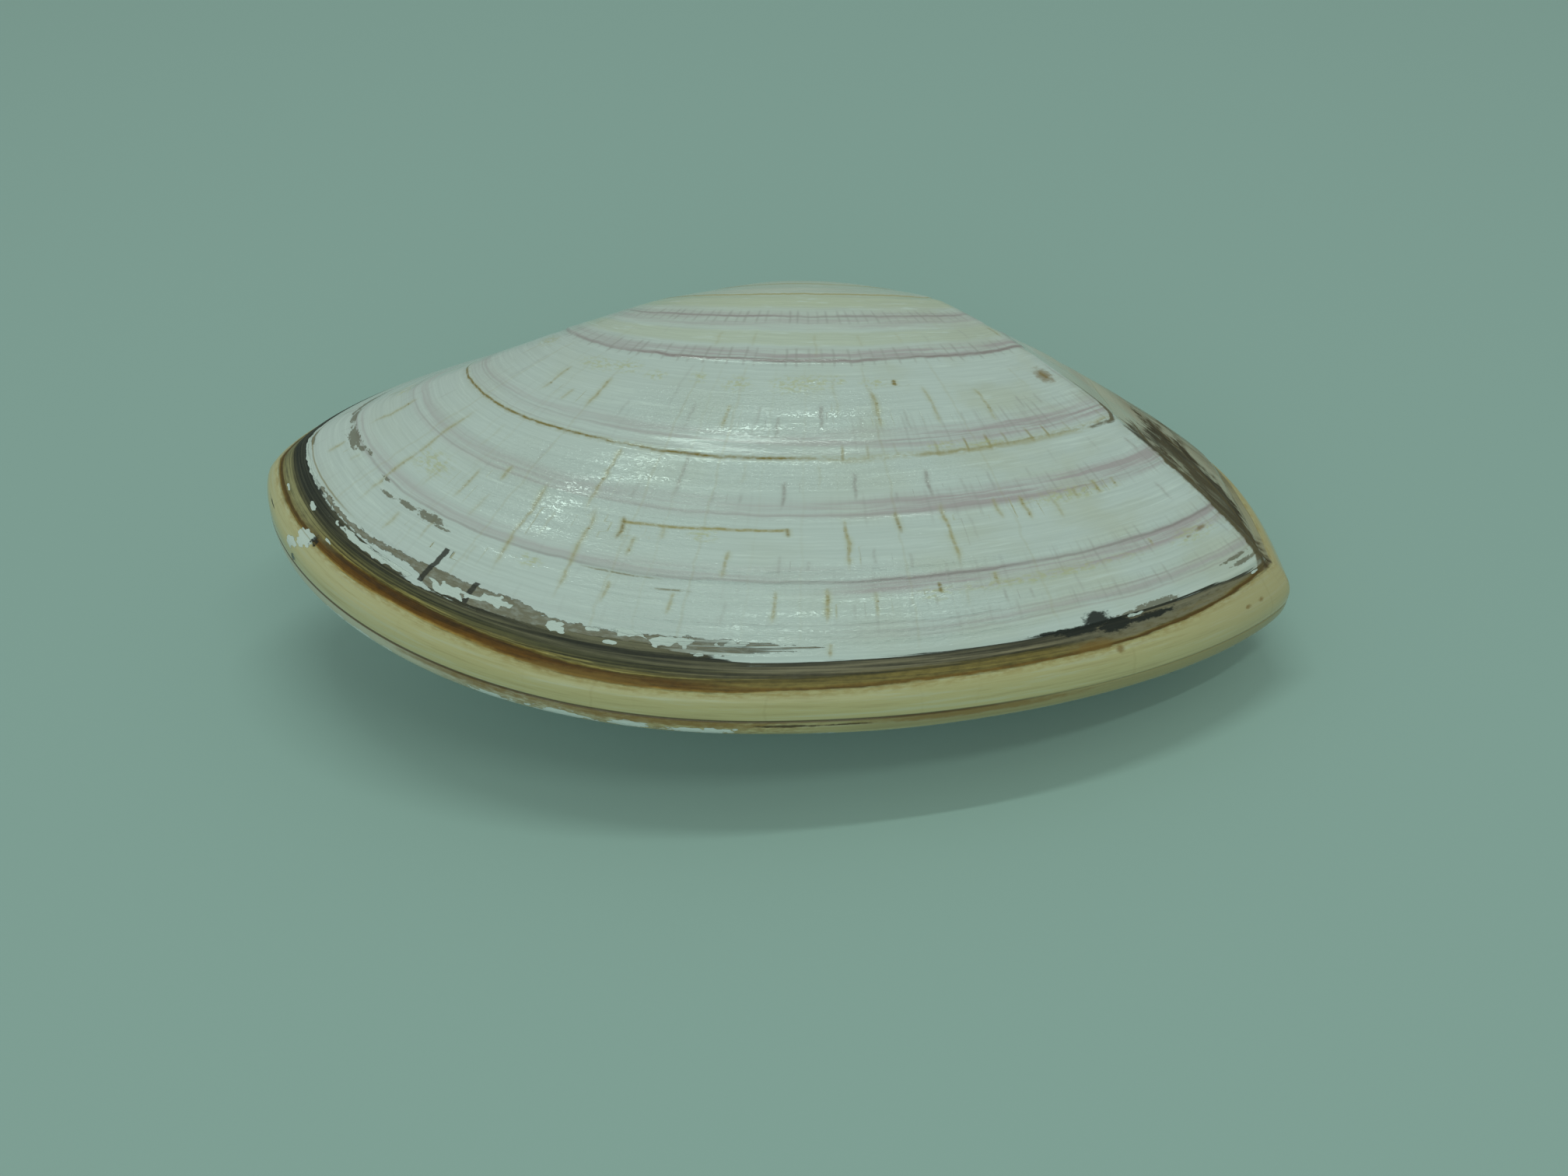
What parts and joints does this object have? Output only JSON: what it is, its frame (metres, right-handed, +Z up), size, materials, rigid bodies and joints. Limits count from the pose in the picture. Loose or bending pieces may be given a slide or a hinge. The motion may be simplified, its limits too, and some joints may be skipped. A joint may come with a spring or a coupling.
{
  "type": "tellin shell",
  "caption": "Closed bivalve shell of a large white tellin, oval with a pointed ridged rear end, fine growth lines, a dark line inside its cream border and a brown ligament behind the beaks.",
  "frame": {"origin": "centre of the footprint box, on the surface that the shell rests on", "axes": "+X along the shell's length towards its pointed rear end, +Y towards the beaks and the hinge, +Z up through the left valve"},
  "size_m": [0.0896, 0.0524, 0.027],
  "materials": {
    "shell": "satin",
    "ligament": "satin"
  },
  "bodies": {
    "root": {"left_valve": "shell", "right_valve": "shell", "ligament": "ligament"}
  },
  "joints": []
}
